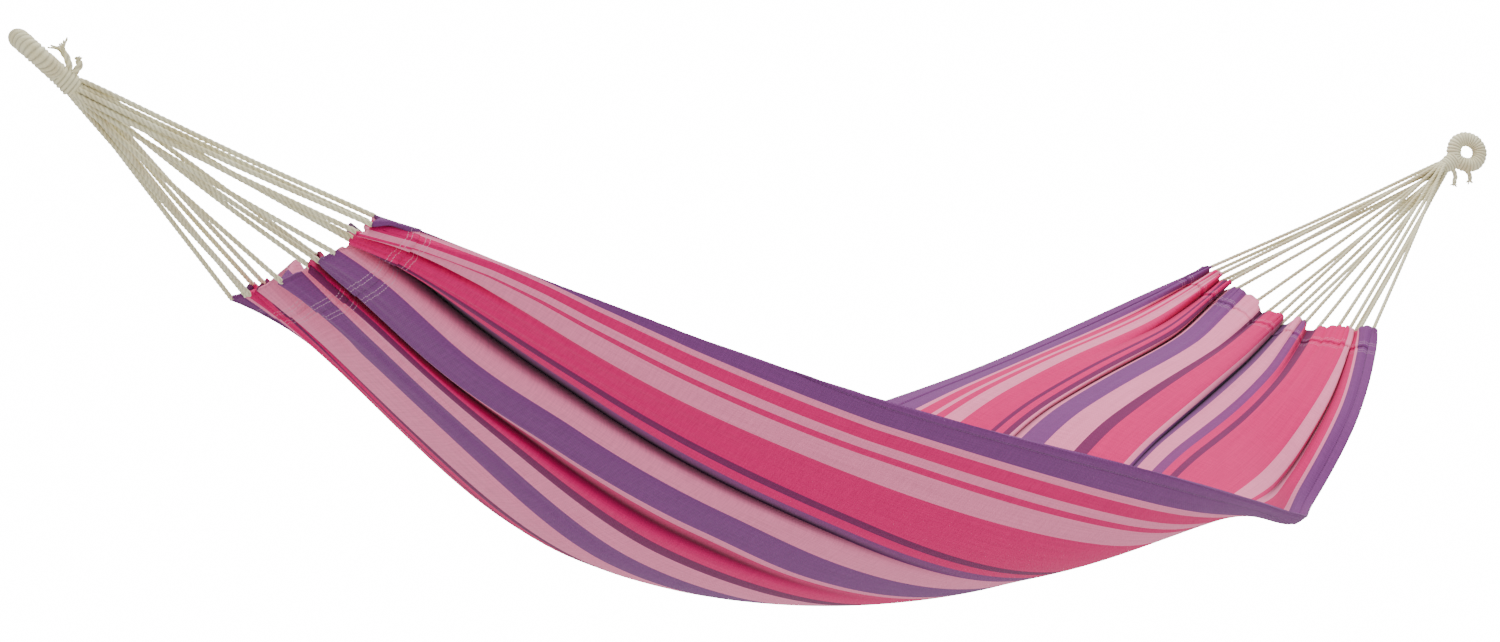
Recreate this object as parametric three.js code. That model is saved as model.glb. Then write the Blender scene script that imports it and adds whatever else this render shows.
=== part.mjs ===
// Rope hammock: a striped cloth bed gathered at both ends, eighteen suspension cords a side,
// and a lashed rope eye at each end. Millimetres, +Z up, X along the bed from head to foot.
// The origin is where the head eye bears on its hook.
import * as THREE from "three";

// Bed
const HALF_BED = 877; // from the middle of the bed to a gathered end
const CLOTH = 2.4; // thickness that stands for the woven cloth
const FOLD = 5; // thickness of a hem or an end casing, where the cloth is doubled
const HEM = 0.028; // share of the cloth's width in each side hem
const CASING = 45; // length of cloth folded back over each end
const CLOTH_WIDTH = 1030; // of the flat cloth
const SEAM_GAP = 0.004; // clearance between pieces of cloth, as a share of the width
const END_GAP = 0.002; // clearance between the bed and an end casing, as a share of half the bed
const PLEAT_DEPTH = 20; // most that a pleat stands out from the bed's surface, at the end
const PLEAT_SHARE = 0.3; // a narrow pleat's depth over the cloth between its two turns
// Where the pleats turn at each end, as shares of the cloth's width from the near side.
// The head's first turn is outward and the foot's first is inward.
const HEAD_TURNS = [0.029, 0.06, 0.128, 0.178, 0.219, 0.315, 0.425, 0.497, 0.623, 0.73, 0.803,
  0.853, 0.899, 0.94, 0.971];
const FOOT_TURNS = [0.029, 0.091, 0.219, 0.274, 0.315, 0.397, 0.497, 0.529, 0.568, 0.648, 0.739,
  0.794, 0.849, 0.922, 0.971];
// How the cloth is spread over the bed's width: where each share of the cloth lies at a station.
const SHARES = [0, 0.06, 0.122, 0.166, 0.219, 0.268, 0.315, 0.392, 0.458, 0.497, 0.544, 0.591,
  0.655, 0.714, 0.803, 0.87, 0.94, 1];
const SPREAD = [
  [-1, 0, 0.035, 0.055, 0.075, 0.093, 0.108, 0.128, 0.168, 0.36, 0.385, 0.415, 0.49, 0.66, 0.84, 0.88,
    0.915, 0.955, 1],
  [-0.85, 0, 0.032, 0.06, 0.084, 0.105, 0.13, 0.157, 0.245, 0.36, 0.38, 0.415, 0.475, 0.575, 0.74,
    0.82, 0.88, 0.935, 1],
  [-0.7, 0, 0.03, 0.063, 0.09, 0.111, 0.133, 0.16, 0.22, 0.292, 0.335, 0.385, 0.44, 0.52, 0.64, 0.75,
    0.83, 0.92, 1],
  [-0.5, 0, 0.028, 0.064, 0.09, 0.112, 0.134, 0.162, 0.21, 0.265, 0.32, 0.38, 0.44, 0.515, 0.58, 0.7,
    0.8, 0.91, 1],
  [-0.33, 0, 0.031, 0.07, 0.1, 0.126, 0.152, 0.18, 0.24, 0.3, 0.34, 0.395, 0.455, 0.53, 0.59, 0.71,
    0.81, 0.915, 1],
  [0, 0, 0.046, 0.095, 0.127, 0.175, 0.22, 0.262, 0.325, 0.37, 0.415, 0.475, 0.54, 0.6, 0.65, 0.755,
    0.84, 0.925, 1],
  [0.4, 0, 0.06, 0.12, 0.158, 0.23, 0.3, 0.355, 0.405, 0.412, 0.47, 0.545, 0.62, 0.68, 0.71, 0.79, 0.86,
    0.925, 1],
  [0.8, 0, 0.07, 0.115, 0.155, 0.235, 0.305, 0.37, 0.425, 0.44, 0.515, 0.575, 0.65, 0.715, 0.735, 0.81,
    0.88, 0.94, 1],
  [1, 0, 0.1, 0.125, 0.145, 0.24, 0.33, 0.4, 0.465, 0.485, 0.56, 0.64, 0.77, 0.835, 0.86, 0.905, 0.94,
    0.97, 1],
];
// Where the cords hold each end, in pairs: the upper cord at an inward pleat, the lower outward.
const HEAD_HOLDS = [[0.06, 0.029], [0.178, 0.128], [0.29, 0.219], [0.35, 0.4], [0.497, 0.46],
  [0.56, 0.623], [0.73, 0.803], [0.853, 0.899], [0.94, 0.975]];
const FOOT_HOLDS = [[0.029, 0.07], [0.17, 0.11], [0.219, 0.274], [0.315, 0.397], [0.497, 0.45],
  [0.568, 0.529], [0.739, 0.648], [0.849, 0.794], [0.971, 0.922]];
const SAG_POWER = 2.3; // how square the bed's cross-section is
const DROOP = 22; // how far the near border hangs down outside its edge line at its lowest corner
const DROOP_AT = { station: 0.47, reach: 0.13, share: 0.1 };

// Cords and eyes
const CORD = 6;
const CORD_SIDES = 8;
const PACK = 6.6; // spacing of the cords where they meet at the throat
const THROAT = { x: 1124, y: 0, z: 171 }; // pivot of the cords' fan at each end, mirrored in X
const THROAT_BALL = 12; // radius of the lashing's round end
const CORD_START = 16; // from the pivot to the cords' upper ends
const CORD_END_GAP = 3.2; // from a cord's lower end to the casing
const COLLAR = 11; // length of lashing above the pivot
const COLLAR_TAPER = 2; // how much narrower the lashing's radius is at its top
const LASHING_TURNS = 3;
const EYE_RING = 22.3; // radius of the eye's centre line
const EYE_ROPE = 11.8; // radius of the wrapped rope in the eye
const EYE_THIN = 0.87; // thickness of that rope through the eye, over its width
const EYE_PINCH = 0.45; // how much the eye narrows towards the throat
// How each eye hangs: how far it leans up from the line of the cords, and the way its hole faces.
const EYES = {
  head: { lean: 0.13, faces: [0.64, -0.23, 0.78] },
  foot: { lean: -0.16, faces: [-0.48, -0.84, 0.24] },
};
// The lashing cord's loose ends, as [height above the pivot, distance out from the lashing's axis].
const TAIL = 6; // their diameter
const TAILS = {
  head: [[[11, 14.6], [19, 16.5], [28, 20]], [[1, 15.4], [4, 19.5], [10, 24]]],
  foot: [[[4, 15.4], [0, 22], [-7, 30]], [[29, 31.5], [27, 35], [23, 40]]],
};

// Guide lines of the bed, each as [station, y, z]: station -1 is the head end, 1 the foot end.
const NEAR_EDGE = [
  [-1, -207, 46], [-0.5, -407, -118], [0, -496, -232], [0.42, -367, -310],
  [0.62, -248, -317], [0.8, -188, -210], [1, -88, -89],
];
const BELLY = [
  [-1, -27, -14], [-0.5, 14, -373], [0, -52, -427], [0.5, 1, -230], [1, 93, -86],
];
const FAR_EDGE = [
  [-1, 153, -46], [-0.5, 378, -256], [0, 424, -287], [0.5, 433, -199], [1, 274, -5],
];

const CREAM = 0xd9cdb4;
const ROSE = 0xc94f7c;
const PURPLE = 0x6f4a86;

const group = new THREE.Group();
group.name = "rope_hammock";

function add(name, geometry, color, roughness = 0.9) {
  const material = new THREE.MeshStandardMaterial({ color, roughness, metalness: 0 });
  const mesh = new THREE.Mesh(geometry, material);
  mesh.name = name;
  group.add(mesh);
  return mesh;
}

// The values of a table at station s: cubic pieces whose slopes come from the neighbouring rows.
function guide(line, s) {
  let i = 0;
  while (i < line.length - 2 && s > line[i + 1][0]) i++;
  const slope = (k, c) => {
    const a = line[Math.max(k - 1, 0)];
    const b = line[Math.min(k + 1, line.length - 1)];
    return (b[c] - a[c]) / (b[0] - a[0]);
  };
  const [p, q] = [line[i], line[i + 1]];
  const h = q[0] - p[0];
  const r = (s - p[0]) / h;
  return p.slice(1).map((_, k) => {
    const c = k + 1;
    return p[c] * (1 + 2 * r) * (1 - r) ** 2 + slope(i, c) * h * r * (1 - r) ** 2 +
      q[c] * r * r * (3 - 2 * r) + slope(i + 1, c) * h * r * r * (r - 1);
  });
}

// The bed's surface without its pleats: s runs along the bed, w across it from 0 to 1.
function smoothBed(s, w) {
  const [n, b, f] = [NEAR_EDGE, BELLY, FAR_EDGE].map((line) => guide(line, s));
  const bulge = 1 - Math.abs(2 * w - 1) ** SAG_POWER;
  const at = (c) => n[c] * (1 - w) + f[c] * w + (b[c] - (n[c] + f[c]) / 2) * bulge;
  return new THREE.Vector3(HALF_BED * s, at(0), at(1));
}

function normalOf(surface, s, w) {
  const e = 1e-3;
  const alongS = surface(s + e, w).sub(surface(s - e, w));
  const alongW = surface(s, w + e).sub(surface(s, w - e));
  return alongS.cross(alongW).normalize();
}

// Where a share c of the cloth lies across the bed at station s.
function spreadOf(s, c) {
  const across = guide(SPREAD, s);
  let i = 0;
  while (i < SHARES.length - 2 && c > SHARES[i + 1]) i++;
  return across[i] + ((across[i + 1] - across[i]) * (c - SHARES[i])) / (SHARES[i + 1] - SHARES[i]);
}

// How far a pleat stands out from the bed at one end: below 0 is outward, 0 at the two edges.
function pleat(turns, first, c) {
  const marks = [0, ...turns, 1];
  const depth = (k) => {
    if (k === 0 || k === marks.length - 1) return 0;
    const cloth = CLOTH_WIDTH * Math.min(marks[k + 1] - marks[k], marks[k] - marks[k - 1]);
    return (k % 2 ? first : -first) * Math.min(PLEAT_DEPTH, PLEAT_SHARE * cloth);
  };
  let i = 0;
  while (i < marks.length - 2 && c > marks[i + 1]) i++;
  const r = (c - marks[i]) / (marks[i + 1] - marks[i]);
  return depth(i) + ((depth(i + 1) - depth(i)) * (1 - Math.cos(Math.PI * r))) / 2;
}

// The pleated bed: s runs along it and c across the cloth, both from the near side of the head.
function bed(s, c) {
  const w = spreadOf(s, c);
  const hang = Math.sin(Math.PI * Math.min(c / DROOP_AT.share, 1)) *
    Math.exp(-(((s - DROOP_AT.station) / DROOP_AT.reach) ** 2));
  const pleats = s < 0 ? pleat(HEAD_TURNS, -1, c) : pleat(FOOT_TURNS, 1, c);
  const point = smoothBed(s, w).addScaledVector(normalOf(smoothBed, s, w), pleats * Math.abs(s) ** 4);
  point.z -= DROOP * hang;
  return point;
}

// A closed sheet of the given thickness over the stations ss and the widths ws.
function sheet(ss, ws, thickness) {
  const rows = ss.length;
  const cols = ws.length;
  const points = [];
  for (const side of [1, -1])
    for (const s of ss)
      for (const w of ws)
        points.push(...bed(s, w).addScaledVector(normalOf(bed, s, w), (side * thickness) / 2));
  const index = [];
  const top = (i, j) => i * cols + j;
  const under = (i, j) => rows * cols + top(i, j);
  const quad = (a, b, c, d) => index.push(a, b, c, a, c, d);
  for (let i = 0; i < rows - 1; i++)
    for (let j = 0; j < cols - 1; j++) {
      quad(top(i, j), top(i + 1, j), top(i + 1, j + 1), top(i, j + 1));
      quad(under(i, j), under(i, j + 1), under(i + 1, j + 1), under(i + 1, j));
    }
  for (let i = 0; i < rows - 1; i++) {
    quad(top(i, 0), under(i, 0), under(i + 1, 0), top(i + 1, 0));
    quad(top(i + 1, cols - 1), under(i + 1, cols - 1), under(i, cols - 1), top(i, cols - 1));
  }
  for (let j = 0; j < cols - 1; j++) {
    quad(top(0, j + 1), under(0, j + 1), under(0, j), top(0, j));
    quad(top(rows - 1, j), under(rows - 1, j), under(rows - 1, j + 1), top(rows - 1, j + 1));
  }
  const geometry = new THREE.BufferGeometry();
  geometry.setAttribute("position", new THREE.Float32BufferAttribute(points, 3));
  geometry.setIndex(index);
  geometry.computeVertexNormals();
  return geometry;
}

// Evenly spaced values, or crowded towards both ends when ends is above 1.
function spread(from, to, count, ends = 1) {
  return Array.from({ length: count + 1 }, (_, i) => {
    const r = (2 * i) / count - 1;
    const crowded = Math.sign(r) * (1 - (1 - Math.abs(r)) ** ends);
    return from + ((to - from) * (crowded + 1)) / 2;
  });
}

// Shares of the cloth from one side to another, at every turn of the pleats and between far ones.
function pleatedShares(from, to, turns = [...HEAD_TURNS, ...FOOT_TURNS]) {
  const inside = turns.filter((c) => c > from + 0.012 && c < to - 0.012).sort((a, b) => a - b);
  const apart = inside.filter((c, i) => !i || c - inside[i - 1] > 0.004);
  const marks = [from, ...apart, to];
  return marks.flatMap((c, i) => {
    if (!i) return [c];
    return c - marks[i - 1] > 0.03 ? [(marks[i - 1] + c) / 2, c] : [c];
  });
}

function addCloth() {
  const inner = 1 - CASING / HALF_BED;
  const stations = spread(-inner, inner, 22, 1.3);
  const from = HEM + SEAM_GAP;
  add("bed_cloth", sheet(stations, pleatedShares(from, 1 - from), CLOTH), ROSE);
  add("hem_near", sheet(stations, [0, HEM], FOLD), PURPLE);
  add("hem_far", sheet(stations, [1 - HEM, 1], FOLD), PURPLE);
  add("casing_head", sheet([-1, -inner - END_GAP], pleatedShares(0, 1, HEAD_TURNS), FOLD), ROSE);
  add("casing_foot", sheet([inner + END_GAP, 1], pleatedShares(0, 1, FOOT_TURNS), FOLD), ROSE);
}

// The fan's frame at one end: the pivot, the way to the bed, along the header, and across it.
function fan(end) {
  const pivot = new THREE.Vector3(end * THROAT.x, THROAT.y, THROAT.z);
  const near = smoothBed(end, 0);
  const far = smoothBed(end, 1);
  const toBed = near.clone().add(far).divideScalar(2).sub(pivot).normalize();
  const along = far.clone().sub(near).normalize();
  const across = normalOf(smoothBed, end, 0.5);
  across.addScaledVector(toBed, -across.dot(toBed));
  across.addScaledVector(along, -across.dot(along)).normalize();
  return { pivot, toBed, along, across };
}

const circle = (radius, sides) =>
  new THREE.Shape(Array.from({ length: sides }, (_, i) => {
    const a = (2 * Math.PI * i) / sides;
    return new THREE.Vector2(radius * Math.cos(a), radius * Math.sin(a));
  }));

function tube(points, diameter, steps) {
  const extrudePath = points.length > 2
    ? new THREE.CatmullRomCurve3(points)
    : new THREE.LineCurve3(...points);
  return new THREE.ExtrudeGeometry(circle(diameter / 2, CORD_SIDES),
    { steps, bevelEnabled: false, extrudePath });
}

// Eighteen cords from the throat, where they lie in four layers, to the gathered end.
function addCords(end, label) {
  const { pivot, toBed, along, across } = fan(end);
  const pairs = end < 0 ? HEAD_HOLDS : FOOT_HOLDS;
  pairs.flat().forEach((c, i) => {
    const pair = Math.floor(i / 2);
    const layer = (i % 2 ? -0.5 : 0.5) + (pair % 2 ? (i % 2 ? -1 : 0) : i % 2 ? 0 : 1);
    const start = pivot.clone()
      .addScaledVector(toBed, CORD_START)
      .addScaledVector(along, ((pair - (pairs.length - 1) / 2) * PACK) / 2)
      .addScaledVector(across, layer * PACK * 0.875);
    const held = bed(end, c);
    const stop = held.clone().addScaledVector(start.clone().sub(held).normalize(), CORD_END_GAP);
    const number = String(i + 1).padStart(2, "0");
    add(`cord_${label}_${number}`, tube([start, stop], CORD, 4), CREAM);
  });
}

// The lashing below an eye: ridged where the cord winds round, and round-ended at the pivot.
function collarProfile() {
  const profile = [];
  for (let i = 0; i <= 5; i++) {
    const a = (Math.PI / 2) * (i / 5);
    profile.push(new THREE.Vector2(THROAT_BALL * Math.sin(a), -THROAT_BALL * Math.cos(a)));
  }
  const turn = COLLAR / LASHING_TURNS;
  for (let k = 0; k < LASHING_TURNS; k++) {
    const r = THROAT_BALL - (COLLAR_TAPER * (k + 1)) / LASHING_TURNS;
    profile.push(new THREE.Vector2(r + 0.6, (k + 0.5) * turn), new THREE.Vector2(r - 0.6, (k + 1) * turn));
  }
  profile.push(new THREE.Vector2(0, COLLAR));
  profile[0].x = 0;
  return profile;
}

// A ring of oval section, drawn in towards the throat like a drop.
function eyeGeometry() {
  const geometry = new THREE.TorusGeometry(EYE_RING, EYE_ROPE, 12, 22);
  const p = geometry.getAttribute("position");
  for (let i = 0; i < p.count; i++) {
    const low = Math.max(0, -p.getY(i) / (EYE_RING + EYE_ROPE));
    p.setX(i, p.getX(i) * (1 - EYE_PINCH * low ** 2));
    p.setZ(i, p.getZ(i) * EYE_THIN);
  }
  return geometry;
}

// The eye's frame at one end: its pivot, up from the cords, through its hole and across its face.
function eyeFrame(end) {
  const { pivot, toBed } = fan(end);
  const { lean, faces } = end < 0 ? EYES.head : EYES.foot;
  const up = toBed.clone().negate().add(new THREE.Vector3(0, 0, lean)).normalize();
  const through = new THREE.Vector3(...faces);
  through.addScaledVector(up, -through.dot(up)).normalize();
  const flat = up.clone().cross(through);
  const basis = new THREE.Matrix4().makeBasis(flat, up, through);
  return { pivot, up, through, flat, basis };
}

const eyeCentre = COLLAR + 0.4 + EYE_RING + EYE_ROPE;

function addEye(end, label) {
  const { pivot, up, through, flat, basis } = eyeFrame(end);
  const place = (mesh, height) => {
    mesh.quaternion.setFromRotationMatrix(basis);
    mesh.position.copy(pivot).addScaledVector(up, height);
  };
  place(add(`eye_${label}`, eyeGeometry(), CREAM), eyeCentre);
  place(add(`collar_${label}`, new THREE.LatheGeometry(collarProfile(), 20), CREAM), 0);
  // the head's loose ends stand out beside the eye, and the foot's hang below it
  const out = end < 0 ? through : flat;
  TAILS[label].forEach((path, k) => {
    const points = path.map(([height, reach]) =>
      pivot.clone().addScaledVector(up, height).addScaledVector(out, reach));
    add(`tail_${label}_${k + 1}`, tube(points, TAIL, 6), CREAM);
  });
}

addCloth();
for (const [end, label] of [[-1, "head"], [1, "foot"]]) {
  addCords(end, label);
  addEye(end, label);
}

// The hook bears on the inside of the head eye's outer end.
const head = eyeFrame(-1);
const bearing = head.pivot.clone().addScaledVector(head.up, eyeCentre + EYE_RING - EYE_ROPE);
group.position.copy(bearing).negate();
group.updateMatrixWorld(true);

export default group;
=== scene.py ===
"""Rope hammock: the looks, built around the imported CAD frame. Metres, in the CAD's frame."""
import math

import bpy
import numpy as np
from mathutils import Matrix, Vector


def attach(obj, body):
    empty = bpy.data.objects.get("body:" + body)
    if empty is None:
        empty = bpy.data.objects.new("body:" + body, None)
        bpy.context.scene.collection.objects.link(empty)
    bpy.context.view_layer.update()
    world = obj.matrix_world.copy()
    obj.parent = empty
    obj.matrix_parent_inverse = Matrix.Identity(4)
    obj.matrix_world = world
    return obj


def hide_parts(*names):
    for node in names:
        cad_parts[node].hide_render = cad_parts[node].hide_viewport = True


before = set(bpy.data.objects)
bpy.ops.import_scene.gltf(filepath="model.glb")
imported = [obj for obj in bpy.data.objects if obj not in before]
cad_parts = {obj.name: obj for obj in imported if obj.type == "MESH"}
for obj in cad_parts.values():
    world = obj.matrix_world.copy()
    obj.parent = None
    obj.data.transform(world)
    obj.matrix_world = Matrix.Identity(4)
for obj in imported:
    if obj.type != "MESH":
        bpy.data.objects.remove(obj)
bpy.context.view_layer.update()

# ---------------------------------------------------------------- dimensions, in metres
HALF_BED = 0.877
HEM = 0.028  # share of the cloth's width in each side hem
CASING = 0.045
SINGLE, DOUBLED = 0.0016, 0.004  # thickness of the cloth, and of a hem or casing
# Grooves between the pleats at each end: (share of the cloth, half width, depth, how near the
# middle of the bed they reach)
HEAD_GROOVES = ((0.062, 0.012, 0.016, 0.75), (0.178, 0.012, 0.016, 0.8), (0.328, 0.017, 0.050, 0.08),
                (0.490, 0.018, 0.032, 0.12), (0.580, 0.010, 0.020, 0.9), (0.672, 0.016, 0.040, 0.88),
                (0.735, 0.010, 0.012, 0.8), (0.94, 0.012, 0.012, 0.8))
FOOT_GROOVES = ((0.105, 0.014, 0.022, 0.3), (0.285, 0.010, 0.014, 0.7), (0.440, 0.028, 0.036, 0.2),
                (0.535, 0.010, 0.012, 0.75), (0.686, 0.020, 0.028, 0.05), (0.794, 0.014, 0.020, 0.6),
                (0.922, 0.012, 0.016, 0.7))
STITCH = 0.0045  # from one stitch to the next
STITCH_ROWS = (0.035, 0.039, 0.051, 0.055)  # rows of stitching, from the cloth's ends
LOBES = {-1: 0.017, 1: 0.011}  # how far the cloth swells between two grooves at each end
SCALLOP = {-1: 0.018, 1: 0.010}  # how far the middle of a lobe stands beyond its grooves at each end
# Shares of the cloth where its pleats turn, at the head and at the foot
HEAD_TURNS = (0.029, 0.06, 0.128, 0.178, 0.219, 0.315, 0.425, 0.497, 0.623, 0.73, 0.803, 0.853, 0.899,
              0.94, 0.971)
FOOT_TURNS = (0.029, 0.091, 0.219, 0.274, 0.315, 0.397, 0.497, 0.529, 0.568, 0.648, 0.739, 0.794, 0.849,
              0.922, 0.971)
# Where each share of the cloth lies over the bed's width: one row a station, from head to foot
SHARES = (0, 0.06, 0.122, 0.166, 0.219, 0.268, 0.329, 0.392, 0.458, 0.497, 0.544, 0.591, 0.655, 0.714,
          0.803, 0.87, 0.94, 1)
SPREAD = np.array([
    (-1, 0, 0.035, 0.055, 0.075, 0.093, 0.108, 0.135, 0.168, 0.36, 0.385, 0.415, 0.49, 0.66, 0.84, 0.88,
     0.915, 0.955, 1),
    (-0.85, 0, 0.032, 0.06, 0.084, 0.105, 0.13, 0.173, 0.245, 0.36, 0.38, 0.415, 0.475, 0.575, 0.74,
     0.82, 0.88, 0.935, 1),
    (-0.7, 0, 0.03, 0.063, 0.09, 0.111, 0.133, 0.171, 0.22, 0.292, 0.335, 0.385, 0.44, 0.52, 0.64, 0.75,
     0.83, 0.92, 1),
    (-0.5, 0, 0.028, 0.064, 0.09, 0.112, 0.134, 0.171, 0.21, 0.265, 0.32, 0.38, 0.44, 0.515, 0.58, 0.7,
     0.8, 0.91, 1),
    (-0.33, 0, 0.031, 0.07, 0.1, 0.126, 0.152, 0.191, 0.24, 0.3, 0.34, 0.395, 0.455, 0.53, 0.59, 0.71,
     0.81, 0.915, 1),
    (0, 0, 0.046, 0.095, 0.127, 0.175, 0.22, 0.273, 0.325, 0.37, 0.415, 0.475, 0.54, 0.6, 0.65, 0.755,
     0.84, 0.925, 1),
    (0.4, 0, 0.06, 0.12, 0.158, 0.23, 0.3, 0.364, 0.405, 0.412, 0.47, 0.545, 0.62, 0.68, 0.71, 0.79,
     0.86, 0.925, 1),
    (0.8, 0, 0.07, 0.115, 0.155, 0.235, 0.305, 0.38, 0.425, 0.44, 0.515, 0.575, 0.65, 0.715, 0.735,
     0.81, 0.88, 0.94, 1),
    (1, 0, 0.1, 0.125, 0.145, 0.24, 0.33, 0.45, 0.465, 0.485, 0.56, 0.64, 0.77, 0.835, 0.86, 0.905,
     0.94, 0.97, 1)])
# Where each pair of cords takes hold of the cloth, as shares of its width
HEAD_HOLDS = ((0.06, 0.029), (0.178, 0.128), (0.29, 0.219), (0.35, 0.40), (0.497, 0.46), (0.56, 0.623),
              (0.73, 0.803), (0.853, 0.899), (0.94, 0.975))
FOOT_HOLDS = ((0.029, 0.07), (0.17, 0.11), (0.219, 0.274), (0.315, 0.397), (0.497, 0.45), (0.568, 0.529),
              (0.739, 0.648), (0.849, 0.794), (0.971, 0.922))
CORD = 0.006
CORD_SAG = 0.002
PACK = 0.0066  # spacing of the cords where they meet at the throat
THROAT = (1.124, 0.0, 0.171)  # pivot of the cords' fan at each end, mirrored in X
THROAT_BALL = 0.012  # radius of the lashing's round end
COLLAR = 0.011  # length of lashing above the pivot
EYE_RING = 0.0223  # radius of the eye's centre line
EYE_ROPE = 0.0118  # radius of the wrapped rope in the eye
EYE_THIN = 0.87  # thickness of the wrapped rope through the eye, over its width
EYE_PINCH = 0.45  # how much the eye narrows towards the throat
WRAP = 0.0047  # from one turn of the wrapping cord to the next
EYES = {-1: (0.13, (0.64, -0.23, 0.78)), 1: (-0.16, (-0.48, -0.84, 0.24))}  # lean, way the hole faces
# The lashing's loose ends: points as (height above the pivot, distance out), then how far they fray
TAIL = 0.006
TAILS = {-1: ((((0.011, 0.010), (0.019, 0.0165), (0.028, 0.020)), 0.011),
              (((0.006, 0.010), (0.007, 0.0195), (0.011, 0.024)), 0.004)),
         1: ((((0.009, 0.010), (0.006, 0.022), (-0.003, 0.031)), 0.005),
             (((0.028, 0.025), (0.027, 0.035), (0.023, 0.040)), 0.006))}
SHIFT = np.array([1.166499, -0.004645, -0.207169])  # bed's middle, seen from the head hook
CLOTH_WIDTH, CLOTH_LENGTH = 1.03, 2.0  # of the flat cloth
SAG_POWER = 2.3
# How far the near border hangs down outside its edge line: at which station, over what length, and
# over what share of the cloth
DROOP, DROOP_AT, DROOP_REACH, DROOP_SHARE = 0.022, 0.47, 0.13, 0.1

NEAR_EDGE = np.array([
    (-1, -0.207, 0.046), (-0.5, -0.407, -0.118), (0, -0.496, -0.232), (0.42, -0.367, -0.310),
    (0.62, -0.248, -0.317), (0.8, -0.188, -0.210), (1, -0.088, -0.089)])
BELLY = np.array([
    (-1, -0.027, -0.014), (-0.5, 0.014, -0.373), (0, -0.052, -0.427), (0.5, 0.001, -0.230),
    (1, 0.093, -0.086)])
FAR_EDGE = np.array([
    (-1, 0.153, -0.046), (-0.5, 0.378, -0.256), (0, 0.424, -0.287), (0.5, 0.433, -0.199),
    (1, 0.274, -0.005)])

# Stripes from the near border to the far one: (relative width, colour)
BORDER, BLUSH, ROSE, PLUM, VIOLET = "border", "blush", "rose", "plum", "violet"
STRIPES = (
    (66, BORDER), (12, BLUSH), (28, ROSE), (14, BLUSH), (14, ROSE), (48, BLUSH), (112, ROSE),
    (18, PLUM), (18, ROSE), (30, VIOLET), (70, BLUSH), (72, BORDER), (12, BLUSH), (62, ROSE),
    (20, PLUM), (52, BLUSH), (70, BORDER), (64, BLUSH), (20, PLUM), (22, ROSE), (14, PLUM),
    (76, ROSE), (40, BLUSH), (20, ROSE), (14, BLUSH), (30, ROSE), (12, BLUSH), (66, BORDER))
COLOURS = {BORDER: (0x7A, 0x3E, 0x7C), BLUSH: (0xF4, 0x84, 0xAC), ROSE: (0xDC, 0x0A, 0x6C),
           PLUM: (0x76, 0x22, 0x58), VIOLET: (0x80, 0x38, 0x78)}
THREAD = (0xDC, 0xB4, 0xC8)


def linear(rgb):
    """An 8-bit display colour as linear RGBA."""
    out = [c / 255 / 12.92 if c <= 10 else ((c / 255 + 0.055) / 1.055) ** 2.4 for c in rgb]
    return (*out, 1.0)


# ---------------------------------------------------------------- camera, floor and light
def camera():
    yaw, pitch, roll = 0.618, -0.047, 0.029
    place = np.array([-1.863, -2.263, 0.054]) + SHIFT
    ahead = Vector((math.sin(yaw) * math.cos(pitch), math.cos(yaw) * math.cos(pitch), math.sin(pitch)))
    right = Vector((math.cos(yaw), -math.sin(yaw), 0))
    up = right.cross(ahead)
    r = right * math.cos(roll) + up * math.sin(roll)
    u = up * math.cos(roll) - right * math.sin(roll)
    cam = bpy.data.objects.new("camera", bpy.data.cameras.new("camera"))
    bpy.context.scene.collection.objects.link(cam)
    turn = Matrix((r, u, -ahead)).transposed()
    cam.matrix_world = Matrix.Translation(Vector(place)) @ turn.to_4x4()
    cam.data.sensor_width = 36
    cam.data.lens = 36 * 2190 / 1500
    bpy.context.scene.camera = cam


def lights():
    world = bpy.data.worlds.new("studio")
    world.use_nodes = True
    tree = world.node_tree
    seen = tree.nodes["Background"]
    seen.inputs[0].default_value = (1, 1, 1, 1)
    seen.inputs[1].default_value = 16.0
    soft = tree.nodes.new("ShaderNodeBackground")
    soft.inputs[0].default_value = (1, 0.985, 0.97, 1)
    soft.inputs[1].default_value = 0.8
    ray = tree.nodes.new("ShaderNodeLightPath")
    mix = tree.nodes.new("ShaderNodeMixShader")
    tree.links.new(ray.outputs["Is Camera Ray"], mix.inputs[0])
    tree.links.new(soft.outputs[0], mix.inputs[1])
    tree.links.new(seen.outputs[0], mix.inputs[2])
    tree.links.new(mix.outputs[0], tree.nodes["World Output"].inputs[0])
    bpy.context.scene.world = world
    for name, at, size, power in (("key", (1.9, 0.4, 2.9), 1.6, 118), ("front", (-1.2, -3.0, 1.2), 3.0, 38)):
        lamp = bpy.data.lights.new(name, "AREA")
        lamp.size = size
        lamp.energy = power
        obj = bpy.data.objects.new(name, lamp)
        obj.location = at
        aim = Vector((1.2, 0, -0.35)) - Vector(at)
        obj.rotation_euler = aim.to_track_quat("-Z", "Y").to_euler()
        bpy.context.scene.collection.objects.link(obj)


def set_shade(obj, values):
    """Marks how far each vertex lies in a gap or a fold, for the materials to darken."""
    shade = obj.data.attributes.new("shade", "FLOAT", "POINT")
    shade.data.foreach_set("value", np.asarray(values, np.float32).ravel())


def mesh_object(name, verts, faces, material, smooth=True):
    mesh = bpy.data.meshes.new(name)
    mesh.from_pydata([tuple(v) for v in verts], [], [tuple(f) for f in faces])
    mesh.materials.append(material)
    if smooth:
        mesh.polygons.foreach_set("use_smooth", [True] * len(mesh.polygons))
    mesh.update()
    obj = bpy.data.objects.new(name, mesh)
    bpy.context.scene.collection.objects.link(obj)
    return obj


def nodes_of(name):
    material = bpy.data.materials.new(name)
    material.use_nodes = True
    tree = material.node_tree
    return material, tree, tree.nodes["Principled BSDF"]


def floor():
    material, _, shader = nodes_of("floor")
    shader.inputs["Base Color"].default_value = (0.93, 0.93, 0.93, 1)
    shader.inputs["Roughness"].default_value = 0.9
    low = -1.9
    verts = [(-4, -4.5, low), (5.4, -4.5, low), (5.4, 3.9, low), (-4, 3.9, low)]
    obj = mesh_object("floor", verts, [(0, 1, 2, 3)], material, False)


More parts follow.
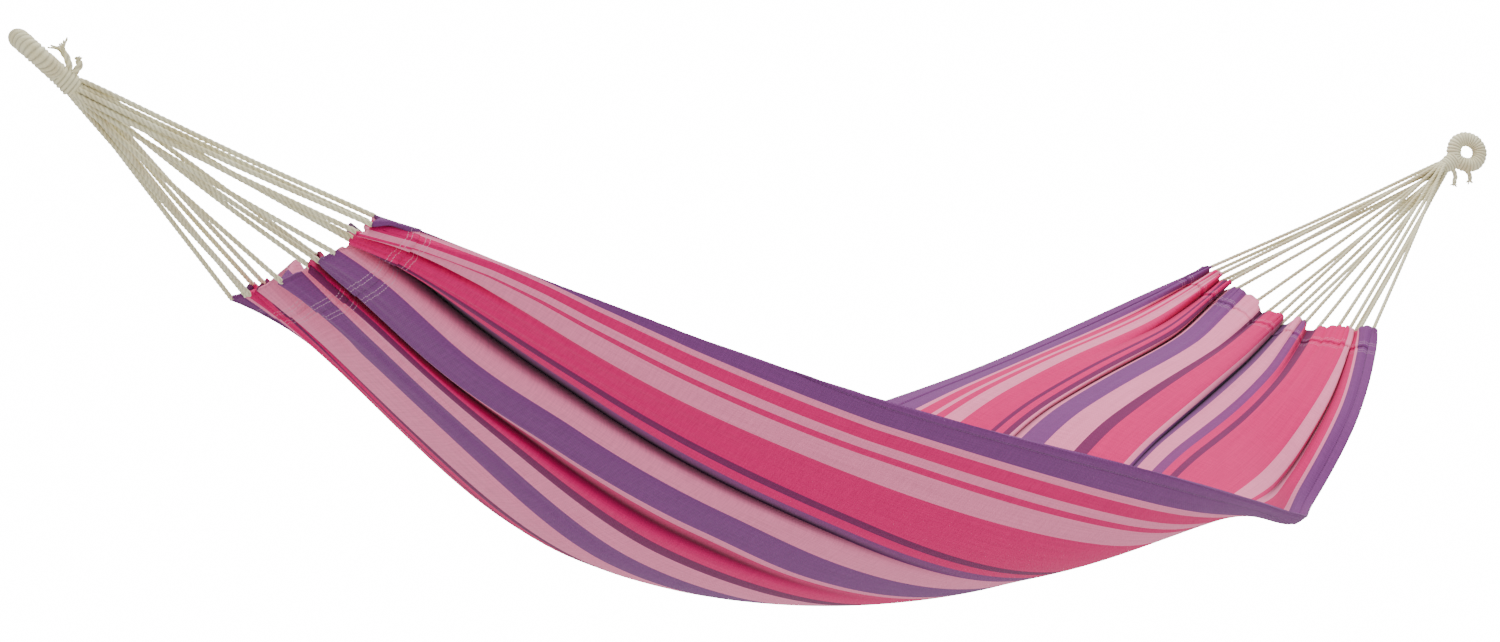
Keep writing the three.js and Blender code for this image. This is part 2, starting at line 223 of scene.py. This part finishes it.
# ---------------------------------------------------------------- shape of the bed
def guide(line, s):
    """Points on a guide line: cubic pieces whose slopes come from the neighbouring stations."""
    t = line[:, 0]
    i = np.clip(np.searchsorted(t, s, side="left") - 1, 0, len(t) - 2)
    lo = np.maximum(np.arange(len(t)) - 1, 0)
    hi = np.minimum(np.arange(len(t)) + 1, len(t) - 1)
    slope = (line[hi, 1:] - line[lo, 1:]) / (t[hi] - t[lo])[:, None]
    h = (t[i + 1] - t[i])[:, None]
    r = (s - t[i])[:, None] / h
    p, q = line[i, 1:], line[i + 1, 1:]
    return (p * (1 + 2 * r) * (1 - r) ** 2 + slope[i] * h * r * (1 - r) ** 2
            + q * r * r * (3 - 2 * r) + slope[i + 1] * h * r * r * (r - 1))


def smooth_bed(s, w):
    """The bed without pleats, for matching arrays of s (rows) and w (rows by columns)."""
    n, b, f = (guide(line, s)[:, None, :] for line in (NEAR_EDGE, BELLY, FAR_EDGE))
    w = w[..., None]
    bulge = 1 - np.abs(2 * w - 1) ** SAG_POWER
    yz = n * (1 - w) + f * w + (b - (n + f) / 2) * bulge
    x = np.broadcast_to((HALF_BED * s)[:, None, None], yz.shape[:2] + (1,))
    return np.concatenate([x, yz], -1)


def unit(v):
    return v / np.maximum(np.linalg.norm(v, axis=-1, keepdims=True), 1e-12)


def smooth_normal(s, w):
    e = 1e-3
    along_s = smooth_bed(s + e, w) - smooth_bed(s - e, w)
    along_w = smooth_bed(s, w + e) - smooth_bed(s, w - e)
    return unit(np.cross(along_s, along_w))


def lobes(c, grooves):
    """How far the cloth swells between the grooves at shares c: 1 in the middle of a wide lobe."""
    marks = np.array([0.0] + [groove[0] for groove in grooves] + [1.0])
    which = np.clip(np.searchsorted(marks, c, side="right") - 1, 0, len(marks) - 2)
    between = (c - marks[which]) / (marks[which + 1] - marks[which])
    size = np.minimum(1, (marks[which + 1] - marks[which]) / 0.12)
    return (size * np.sin(np.pi * between) ** 0.7)[None, :]


def groove_depth(a, c, grooves):
    """Depth of the grooves at |station| a and share c, and how shaded the cloth is in them."""
    deep, shade = 0, 0
    for at, width, depth, near in grooves:
        grown = step_up(a, near, 1.0) ** 0.75
        wide = width * (0.55 + 0.7 * a ** 3)
        here = np.exp(-(np.abs(c[None, :] - at) / wide) ** 1.5)
        deep = deep + depth * grown * here
        shade = shade + min(1, depth / 0.03) * step_up(a, near, near + 0.35) * here
    return deep, np.clip(shade, 0, 1)


def shading(s, c):
    a = np.abs(s)[:, None]
    return np.where(s[:, None] < 0, groove_depth(a, c, HEAD_GROOVES)[1], groove_depth(a, c, FOOT_GROOVES)[1])


def turns_phase(c, turns):
    """Half turns of the pleats' wave at shares c of the cloth: a whole number at each turn."""
    return np.interp(c, (0, *turns, 1), (0.5, *range(1, len(turns) + 1), len(turns) + 0.5))


def lip(s):
    """How much of the near border, as a share of the cloth, is turned in over the edge line."""
    stations = (-1, -0.95, -0.87, -0.81, -0.76, -0.65, -0.42, -0.1, 0.3, 0.5, 1)
    shares = (0.03, 0.055, 0.064, 0.057, 0.047, 0.034, 0.015, 0.010, 0.004, 0, 0)
    return np.interp(s, stations, shares)


def blur(rows, sigma):
    """Rows of points smoothed along their second axis; sigma is in samples."""
    half = int(3 * sigma)
    kernel = np.exp(-0.5 * (np.arange(-half, half + 1) / sigma) ** 2)
    kernel /= kernel.sum()
    padded = np.concatenate([2 * rows[:, :1] - rows[:, half:0:-1], rows,
                             2 * rows[:, -1:] - rows[:, -2:-half - 2:-1]], 1)
    return sum(k * padded[:, i:i + rows.shape[1]] for i, k in enumerate(kernel))


def step_up(x, lo, hi):
    r = np.clip((x - lo) / (hi - lo), 0, 1)
    return r * r * (3 - 2 * r)


def cloth_points(s, c):
    """The pleated cloth over stations s and shares c of its width."""
    fine = np.linspace(0, 1, 1201)
    a = np.abs(s)[:, None]
    spread = guide(SPREAD, s)
    base = np.stack([np.interp(fine, SHARES, row) for row in spread])
    base = blur(base[..., None], 14)[..., 0]
    across = base
    head = s[:, None] < 0
    swell = {-1: lobes(fine, HEAD_GROOVES) * (1 - 0.5 * step_up(fine, 0.72, 0.75)),
             1: lobes(fine, FOOT_GROOVES)}
    up = np.where(head, -LOBES[-1] * swell[-1], LOBES[1] * swell[1]) * a ** 9
    sunk = np.where(head, groove_depth(a, fine, HEAD_GROOVES)[0], -groove_depth(a, fine, FOOT_GROOVES)[0])
    # soft wrinkles that run along the cloth
    up = up + (np.sin(2 * np.pi * (23 * fine + 0.2)) * 0.35
               + np.sin(2 * np.pi * (37.3 * fine + 0.6)) * 0.25)[None, :] * 0.004 * a ** 3
    up = up + 0.002 * np.sin(2 * np.pi * 57 * fine)[None, :] * step_up(a, 0.88, 0.97)
    up = up + 0.003 * np.sin(2 * np.pi * (3.1 * fine[None, :] + 0.9 * s[:, None] + 0.1)) * (1 - a ** 4)
    turned = lip(s)
    edge = np.array([np.interp(t, fine, row) for t, row in zip(turned, across)])[:, None]
    w = np.clip(across - edge * np.exp(-((across - edge) / 0.06) ** 2), 0, 1)
    normal = smooth_normal(s, np.clip(w, 0.002, 0.998))
    # the grooves slant under the cloth on their far side
    slant = np.where(head, 1 - step_up(fine, 0.5, 0.8), -0.9)[..., None]
    towards = unit(normal * (1 - 0.7 * np.abs(slant)) + np.array([0, 0.75, 0]) * slant)
    points = smooth_bed(s, w) + normal * up[..., None] + towards * sunk[..., None]
    hang = np.exp(-((s - DROOP_AT) / DROOP_REACH) ** 2)[:, None]
    points[..., 2] -= DROOP * hang * np.sin(np.pi * np.clip(fine / DROOP_SHARE, 0, 1))
    w0 = np.full((len(s), 1), 0.004)
    into = unit(smooth_bed(s, w0 + 0.02) - smooth_bed(s, w0))
    inward = 0.88 * into + 0.48 * smooth_normal(s, w0)
    start = np.stack([np.stack([np.interp(t, fine, row[:, k]) for k in range(3)])
                      for t, row in zip(turned, points)])
    over = np.clip(turned[:, None] - fine[None, :], 0, None)[..., None] * CLOTH_WIDTH
    points = np.where(over > 0, start[:, None, :] + over * inward, points)
    points = blur(points, 4)
    # the cords draw the cloth out at the turns of the pleats, and it lies back between them
    for end, turns in ((-1, HEAD_TURNS), (1, FOOT_TURNS)):
        held = np.cos(2 * np.pi * turns_phase(fine, turns))
        back = end * 0.005 * (1 - held)[None, :] * a ** 40 * (s[:, None] * end > 0)
        points[..., 0] -= back
        points[..., 0] += end * SCALLOP[end] * (swell[end] - 0.5) * a ** 20 * (s[:, None] * end > 0)
    # the far border's corner hangs out below the rest of the head end
    corner = (step_up(fine, 0.935, 0.96) * a ** 16 * head)[..., None]
    points = points + corner * np.array([-0.016, -0.006, -0.006])
    picked = np.empty((len(s), len(c), 3))
    for i, row in enumerate(points):
        for k in range(3):
            picked[i, :, k] = np.interp(c, fine, row[:, k])
    return picked + SHIFT


def grid_normals(points):
    return unit(np.cross(np.gradient(points, axis=0), np.gradient(points, axis=1)))


def sheet_object(name, s, c, thickness, material):
    """A closed sheet of cloth over stations s and cloth coordinates c."""
    mid = cloth_points(s, c)
    normal = grid_normals(mid)
    rows, cols = len(s), len(c)
    verts = np.concatenate([(mid + normal * thickness / 2).reshape(-1, 3),
                            (mid - normal * thickness / 2).reshape(-1, 3)])
    top = np.arange(rows * cols).reshape(rows, cols)
    low = top + rows * cols
    quads = lambda a, b, d, e: np.stack([a.ravel(), b.ravel(), d.ravel(), e.ravel()], 1)
    faces = [quads(top[:-1, :-1], top[1:, :-1], top[1:, 1:], top[:-1, 1:]),
             quads(low[:-1, :-1], low[:-1, 1:], low[1:, 1:], low[1:, :-1]),
             quads(top[:-1, 0], low[:-1, 0], low[1:, 0], top[1:, 0]),
             quads(top[1:, -1], low[1:, -1], low[:-1, -1], top[:-1, -1]),
             quads(top[0, 1:], low[0, 1:], low[0, :-1], top[0, :-1]),
             quads(top[-1, :-1], low[-1, :-1], low[-1, 1:], top[-1, 1:])]
    faces = np.concatenate(faces)
    obj = mesh_object(name, verts, faces, material)
    uv = np.stack(np.broadcast_arrays(c[None, :], (s * HALF_BED)[:, None]), -1).reshape(-1, 2)
    uv = np.concatenate([uv, uv])
    dark = np.broadcast_to(shading(s, c), (rows, cols)).ravel()
    set_shade(obj, np.concatenate([dark, dark]))
    layer = obj.data.uv_layers.new(name="cloth")
    loops = np.empty(len(obj.data.loops), dtype=np.int32)
    obj.data.loops.foreach_get("vertex_index", loops)
    layer.data.foreach_set("uv", uv[loops].astype(np.float32).ravel())
    return obj


# ---------------------------------------------------------------- materials
def darkened(tree, colour, least):
    """A colour that falls to the given share of itself where the surface is marked as shaded."""
    fold = tree.nodes.new("ShaderNodeAttribute")
    fold.attribute_name = "shade"
    dim = tree.nodes.new("ShaderNodeMapRange")
    dim.inputs["To Min"].default_value = 1.0
    dim.inputs["To Max"].default_value = least
    tree.links.new(fold.outputs["Fac"], dim.inputs["Value"])
    mix = tree.nodes.new("ShaderNodeMix")
    mix.data_type = "RGBA"
    mix.blend_type = "MULTIPLY"
    mix.inputs[0].default_value = 1
    tree.links.new(colour, mix.inputs[6])
    tree.links.new(dim.outputs[0], mix.inputs[7])
    return mix.outputs[2]


def math_node(tree, operation, *values):
    node = tree.nodes.new("ShaderNodeMath")
    node.operation = operation
    for socket, value in zip(node.inputs, values):
        if isinstance(value, (int, float)):
            socket.default_value = value
        else:
            tree.links.new(value, socket)
    return node.outputs[0]


def stitches(tree, split):
    """Dashes where thread shows, in rows at fixed distances from the ends, and in from the hems."""
    across, along = split.outputs[0], split.outputs[1]
    from_middle = math_node(tree, "ABSOLUTE", along)
    rows = [math_node(tree, "COMPARE", from_middle, HALF_BED - d, 0.0004) for d in STITCH_ROWS]
    ends = rows[0]
    for row in rows[1:]:
        ends = math_node(tree, "ADD", ends, row)
    dashes = math_node(tree, "FRACT", math_node(tree, "MULTIPLY", across, CLOTH_WIDTH / STITCH))
    ends = math_node(tree, "MULTIPLY", ends, math_node(tree, "LESS_THAN", dashes, 0.66))
    to_edge = math_node(tree, "ABSOLUTE", math_node(tree, "SUBTRACT", across, 0.5))
    hems = math_node(tree, "COMPARE", to_edge, 0.5 - HEM + 0.002, 0.0005)
    dashes = math_node(tree, "FRACT", math_node(tree, "MULTIPLY", along, 1 / STITCH))
    hems = math_node(tree, "MULTIPLY", hems, math_node(tree, "LESS_THAN", dashes, 0.66))
    return math_node(tree, "MULTIPLY", ends, 0.55), math_node(tree, "MULTIPLY", hems, 0.5)


def cloth_material():
    material, tree, shader = nodes_of("striped_cloth")
    new, link = tree.nodes.new, tree.links.new
    uv = new("ShaderNodeUVMap")
    uv.uv_map = "cloth"
    split = new("ShaderNodeSeparateXYZ")
    link(uv.outputs[0], split.inputs[0])
    ramp = new("ShaderNodeValToRGB")
    ramp.color_ramp.interpolation = "CONSTANT"
    total = sum(width for width, _ in STRIPES)
    at = 0.0
    stops = ramp.color_ramp.elements
    for i, (width, colour) in enumerate(STRIPES):
        stop = stops[i] if i < 2 else stops.new(at / total)
        stop.position = at / total
        stop.color = linear(COLOURS[colour])
        at += width
    link(split.outputs[0], ramp.inputs[0])
    # yarns: long streaks along the cloth, short ones across it
    stretch = new("ShaderNodeMapping")
    stretch.inputs["Scale"].default_value = (420, 9, 1)
    link(uv.outputs[0], stretch.inputs[0])
    warp = new("ShaderNodeTexNoise")
    warp.inputs["Scale"].default_value = 1
    warp.inputs["Detail"].default_value = 3
    link(stretch.outputs[0], warp.inputs[0])
    stretch2 = new("ShaderNodeMapping")
    stretch2.inputs["Scale"].default_value = (30, 520, 1)
    link(uv.outputs[0], stretch2.inputs[0])
    weft = new("ShaderNodeTexNoise")
    weft.inputs["Scale"].default_value = 1
    weft.inputs["Detail"].default_value = 2
    link(stretch2.outputs[0], weft.inputs[0])
    both = new("ShaderNodeMath")
    both.operation = "ADD"
    link(warp.outputs[0], both.inputs[0])
    link(weft.outputs[0], both.inputs[1])
    tone = new("ShaderNodeMapRange")
    tone.inputs["From Min"].default_value = 0.6
    tone.inputs["From Max"].default_value = 1.4
    tone.inputs["To Min"].default_value = 0.84
    tone.inputs["To Max"].default_value = 1.14
    link(both.outputs[0], tone.inputs["Value"])
    mul = new("ShaderNodeMix")
    mul.data_type = "RGBA"
    mul.blend_type = "MULTIPLY"
    mul.inputs[0].default_value = 1
    link(ramp.outputs[0], mul.inputs[6])
    link(tone.outputs[0], mul.inputs[7])
    # stitching: two double rows of pale thread across each end and a dark one along each hem
    sewn = mul.outputs[2]
    for mask, colour in zip(stitches(tree, split), (THREAD, (0x30, 0x18, 0x3A))):
        thread = new("ShaderNodeMix")
        thread.data_type = "RGBA"
        link(mask, thread.inputs[0])
        link(sewn, thread.inputs[6])
        thread.inputs[7].default_value = linear(colour)
        sewn = thread.outputs[2]
    link(darkened(tree, sewn, 0.16), shader.inputs["Base Color"])
    # weave: a plain over-and-under bump
    wave = new("ShaderNodeMapping")
    wave.inputs["Scale"].default_value = (CLOTH_WIDTH / 0.0022 * math.pi, 1 / 0.0022 * math.pi, 1)
    link(uv.outputs[0], wave.inputs[0])
    parts = new("ShaderNodeSeparateXYZ")
    link(wave.outputs[0], parts.inputs[0])
    sines = []
    for k in (0, 1):
        sine = new("ShaderNodeMath")
        sine.operation = "SINE"
        link(parts.outputs[k], sine.inputs[0])
        sines.append(sine)
    weave = new("ShaderNodeMath")
    weave.operation = "MULTIPLY"
    link(sines[0].outputs[0], weave.inputs[0])
    link(sines[1].outputs[0], weave.inputs[1])
    bump = new("ShaderNodeBump")
    bump.inputs["Strength"].default_value = 0.5
    bump.inputs["Distance"].default_value = 0.0004
    link(weave.outputs[0], bump.inputs["Height"])
    bump2 = new("ShaderNodeBump")
    bump2.inputs["Strength"].default_value = 0.4
    bump2.inputs["Distance"].default_value = 0.0008
    link(both.outputs[0], bump2.inputs["Height"])
    link(bump.outputs[0], bump2.inputs["Normal"])
    link(bump2.outputs[0], shader.inputs["Normal"])
    shader.inputs["Roughness"].default_value = 0.88
    shader.inputs["Sheen Weight"].default_value = 0.08
    shader.inputs["Sheen Roughness"].default_value = 0.5
    shader.inputs["Specular IOR Level"].default_value = 0.2
    return material


def rope_material():
    material, tree, shader = nodes_of("cotton_cord")
    new, link = tree.nodes.new, tree.links.new
    where = new("ShaderNodeTexCoord")
    noise = new("ShaderNodeTexNoise")
    noise.inputs["Scale"].default_value = 900
    noise.inputs["Detail"].default_value = 3
    link(where.outputs["Object"], noise.inputs[0])
    patch = new("ShaderNodeTexNoise")
    patch.inputs["Scale"].default_value = 30
    link(where.outputs["Object"], patch.inputs[0])
    mix = new("ShaderNodeMath")
    mix.operation = "ADD"
    link(noise.outputs[0], mix.inputs[0])
    link(patch.outputs[0], mix.inputs[1])
    ramp = new("ShaderNodeValToRGB")
    ramp.color_ramp.elements[0].position = 0.35
    ramp.color_ramp.elements[0].color = linear((0xE2, 0xD6, 0xA6))
    ramp.color_ramp.elements[1].position = 0.65
    ramp.color_ramp.elements[1].color = linear((0xFC, 0xFA, 0xD6))
    half = new("ShaderNodeMath")
    half.operation = "MULTIPLY"
    half.inputs[1].default_value = 0.5
    link(mix.outputs[0], half.inputs[0])
    link(half.outputs[0], ramp.inputs[0])
    link(darkened(tree, ramp.outputs[0], 0.55), shader.inputs["Base Color"])
    bump = new("ShaderNodeBump")
    bump.inputs["Strength"].default_value = 0.5
    bump.inputs["Distance"].default_value = 0.0006
    link(noise.outputs[0], bump.inputs["Height"])
    link(bump.outputs[0], shader.inputs["Normal"])
    shader.inputs["Roughness"].default_value = 0.85
    shader.inputs["Sheen Weight"].default_value = 0.3
    return material


# ---------------------------------------------------------------- cords and eyes
def fan(end):
    """Pivot, way to the bed, along the header and across it, at one end."""
    s, w = np.array([float(end)]), np.array([[0.0, 0.5, 1.0]])
    near, middle, far = smooth_bed(s, w)[0]
    pivot = np.array([end * THROAT[0], THROAT[1], THROAT[2]])
    to_bed = unit((near + far) / 2 - pivot)
    along = unit(far - near)
    across = smooth_normal(s, w)[0, 1]
    across = across - to_bed * across.dot(to_bed)
    across = unit(across - along * across.dot(along))
    return pivot + SHIFT, to_bed, along, across


def frames(path):
    """Tangents and two turning-free side directions along a path."""
    tangent = unit(np.gradient(path, axis=0))
    side = np.cross(tangent[0], (0.31, 0.52, 0.79))
    sides = []
    for t in tangent:
        side = unit(side - t * side.dot(t))
        sides.append(side)
    sides = np.array(sides)
    return tangent, sides, np.cross(tangent, sides)


def resample(points, spacing):
    points = np.asarray(points, float)
    length = np.concatenate([[0], np.cumsum(np.linalg.norm(np.diff(points, axis=0), axis=1))])
    count = max(int(round(length[-1] / spacing)), 4)
    even = np.linspace(0, length[-1], count + 1)
    return np.stack([np.interp(even, length, points[:, k]) for k in range(3)], 1), even


def strand_tube(name, points, diameter, material, pitch=3.4, sides=15, spacing=0.0021, ends=1.0):
    """Three-strand rope laid along a path: a lobed section that turns as it goes."""
    path, run = resample(points, spacing)
    _, u, v = frames(path)
    a = np.linspace(0, 2 * np.pi, sides, endpoint=False)
    verts, shade = [], []
    for i, p in enumerate(path):
        turn = 2 * np.pi * run[i] / (pitch * diameter)
        strand = np.abs(np.cos(1.5 * (a - turn)))
        radius = diameter / 2 * (0.74 + 0.29 * strand)
        shade.append((1 - strand) ** 1.3)
        verts.append(p + np.outer(np.cos(a) * radius, u[i]) + np.outer(np.sin(a) * radius, v[i]))
    verts = np.concatenate(verts)
    rows = len(path)
    faces = [(i * sides + j, i * sides + (j + 1) % sides,
              (i + 1) * sides + (j + 1) % sides, (i + 1) * sides + j)
             for i in range(rows - 1) for j in range(sides)]
    faces.append(tuple(range(sides))[::-1])
    faces.append(tuple((rows - 1) * sides + j for j in range(sides)))
    obj = mesh_object(name, verts, faces, material)
    set_shade(obj, np.concatenate(shade))
    return obj, path


def bezier(points, count=40):
    """A smooth curve through the points."""
    points = np.asarray(points, float)
    t = np.arange(len(points), dtype=float)
    line = np.column_stack([t, points])
    return guide(line, np.linspace(0, t[-1], count))


def cords(end, label, material):
    pivot, to_bed, along, across = fan(end)
    pairs = HEAD_HOLDS if end < 0 else FOOT_HOLDS
    holds = np.array(pairs).ravel()
    order = np.argsort(holds)
    grip = np.empty((len(holds), 3))
    grip[order] = cloth_points(np.array([end * 0.998]), holds[order])[0]
    for i, held in enumerate(grip):
        pair, low = i // 2, i % 2
        layer = (-0.5 if low else 0.5) + ((-1 if low else 0) if pair % 2 else (0 if low else 1))
        beside = (pair - (len(pairs) - 1) / 2) * PACK / 2
        above = layer * PACK * 0.875
        start = pivot + to_bed * 0.005 + along * beside * 0.6 + across * above * 0.6
        first = pivot + to_bed * 0.019 + along * beside + across * above
        middle = (first + held) / 2 - np.array([0, 0, CORD_SAG + 0.0015 * math.sin(2.1 * i)])
        name = f"rope_{label}_{i + 1:02d}"
        obj, route = strand_tube(name, bezier([start, first, middle, held]), CORD, material)
        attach(obj, "bed")
        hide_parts(f"cord_{label}_{i + 1:02d}")


def eye_axes(end):
    """The eye's frame at one end: its pivot, up from the cords, across its face and through its hole."""
    pivot, to_bed, _, _ = fan(end)
    lean, faces = EYES[end]
    up = unit(-to_bed + np.array([0, 0, lean]))
    through = np.array(faces)
    through = unit(through - up * through.dot(up))
    return pivot, up, np.cross(up, through), through


def wound_tube(name, path, u, v, widths, material, sides=20, closed=False, ridge=0.15):
    """A core wound closely with cord: each turn is a ridge that goes round the path as a helix.

    u and v are the section's directions at each point, and widths its half widths along them."""
    run = np.concatenate([[0], np.cumsum(np.linalg.norm(np.diff(path, axis=0), axis=1))])
    pitch = WRAP
    if closed:
        total = run[-1] + np.linalg.norm(path[0] - path[-1])
        pitch = total / round(total / pitch)
    a = np.linspace(0, 2 * np.pi, sides, endpoint=False)
    verts, shade = [], []
    for i, p in enumerate(path):
        phase = 2 * np.pi * run[i] / pitch + a
        turn = np.abs(np.cos(phase / 2))
        uneven = 1 + 0.02 * np.sin(3.1 * run[i] / pitch) + 0.012 * np.sin(1.7 * run[i] / pitch + 2 * a)
        size = uneven * (1 - ridge + ridge * turn ** 0.6 * 1.1)
        shade.append((1 - turn) ** 1.5)
        verts.append(p + np.outer(np.cos(a) * size * widths[i][0], u[i])
                     + np.outer(np.sin(a) * size * widths[i][1], v[i]))
    rows = len(path)
    nxt = rows if closed else rows - 1
    faces = [(i * sides + j, i * sides + (j + 1) % sides, (i + 1) % rows * sides + (j + 1) % sides,
              (i + 1) % rows * sides + j) for i in range(nxt) for j in range(sides)]
    if not closed:
        faces.append(tuple(range(sides))[::-1])
        faces.append(tuple((rows - 1) * sides + j for j in range(sides)))
    obj = mesh_object(name, np.concatenate(verts), faces, material)
    set_shade(obj, np.concatenate(shade))
    return obj


def eye(end, label, material):
    """The wound eye, the lashing below it and the frayed ends of the lashing's cord."""
    pivot, up, flat, through = eye_axes(end)
    made = []
    # the eye: a ring drawn in towards the throat
    count = 320
    t = np.linspace(0, 2 * np.pi, count, endpoint=False)
    high = np.sin(t) * EYE_RING
    low = np.clip(-high, 0, None) / (EYE_RING + EYE_ROPE)
    wide = np.cos(t) * EYE_RING * (1 - EYE_PINCH * low ** 2)
    centre = pivot + up * (COLLAR + 0.0004 + EYE_RING + EYE_ROPE)
    ring = centre + np.outer(wide, flat) + np.outer(high, up)
    ahead = unit(np.roll(ring, -1, 0) - np.roll(ring, 1, 0))
    out = np.cross(ahead, through)
    made.append((wound_tube(f"wound_eye_{label}", ring, out, np.tile(-through, (count, 1)),
                            np.tile((EYE_ROPE, EYE_ROPE * EYE_THIN), (count, 1)), material, closed=True),
                 f"eye_{label}"))
    # the lashing: round at the pivot, then flatter where it binds the foot of the eye
    heights = np.linspace(-0.97 * THROAT_BALL, COLLAR + 0.013, 90)
    ball = np.sqrt(np.clip(THROAT_BALL ** 2 - np.minimum(heights, 0) ** 2, 1e-8, None))
    rise = np.clip(heights / (COLLAR + 0.013), 0, 1)
    widths = np.stack([ball * (1 + 0.3 * rise), ball * (1 - 0.12 * rise)], 1)
    made.append((wound_tube(f"lashing_{label}", pivot + np.outer(heights, up), np.tile(flat, (90, 1)),
                            np.tile(through, (90, 1)), widths, material, sides=28),
                 f"collar_{label}"))
    # its loose ends
    away = through if end < 0 else flat
    for k, (points, fray) in enumerate(TAILS[end]):
        route = bezier([pivot + up * h + away * r for h, r in points], 30)
        obj, route = strand_tube(f"tail_{label}_{k + 1}_cord", route, TAIL * 1.25, material, spacing=0.0009)
        made.append((obj, f"tail_{label}_{k + 1}"))
        drop = unit(route[-1] - route[-4])
        for j in range(14):
            swing = 2.4 * j + 1.3 * k
            off = unit(np.cross(drop, (math.cos(swing), math.sin(swing), 0.3)))
            root = route[-1] + off * 0.002 * (j % 3) / 2 - drop * 0.003
            reach = fray * (0.7 + 0.15 * (j % 4))
            curl = np.cross(drop, off) * reach * 0.25 * math.sin(1.9 * j)
            hair = bezier([root, root + drop * (0.003 + reach * 0.4) + off * reach * 0.16,
                           root + drop * (0.003 + reach * 0.9) + off * reach * 0.75 + curl], 12)
            piece, _ = strand_tube(f"fray_{label}_{k + 1}_{j + 1}", hair, 0.0019, material, sides=6,
                                   spacing=0.0008)
            made.append((piece, f"tail_{label}_{k + 1}"))
    for obj, node in made:
        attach(obj, f"{label}_end")
        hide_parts(node)


camera()
rope = rope_material()
for END, LABEL in ((-1, "head"), (1, "foot")):
    cords(END, LABEL, rope)
    eye(END, LABEL, rope)
lights()
floor()

cloth = cloth_material()
inner = 1 - CASING / HALF_BED
rows = 240
bed_s = np.sin(np.linspace(-1, 1, rows) * math.pi / 2 * 0.93) / math.sin(math.pi / 2 * 0.93)
across_bed = np.linspace(HEM, 1 - HEM, 300)
bed = sheet_object("cloth", bed_s * inner, across_bed, SINGLE, cloth)
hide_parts("bed_cloth")
for name, stations, widths, thick, stands_for, slot in (
        ("near_hem", bed_s, np.linspace(0, HEM, 7), DOUBLED, "hem_near", "purple_hem"),
        ("far_hem", bed_s, np.linspace(1 - HEM, 1, 7), DOUBLED, "hem_far", "purple_hem"),
        ("head_casing", np.linspace(-1, -inner, 9), across_bed, DOUBLED, "casing_head", "end_casing"),
        ("foot_casing", np.linspace(inner, 1, 9), across_bed, DOUBLED, "casing_foot", "end_casing")):
    piece = sheet_object(name, stations, widths, thick, cloth)
    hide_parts(stands_for)
    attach(piece, "bed")
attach(bed, "bed")
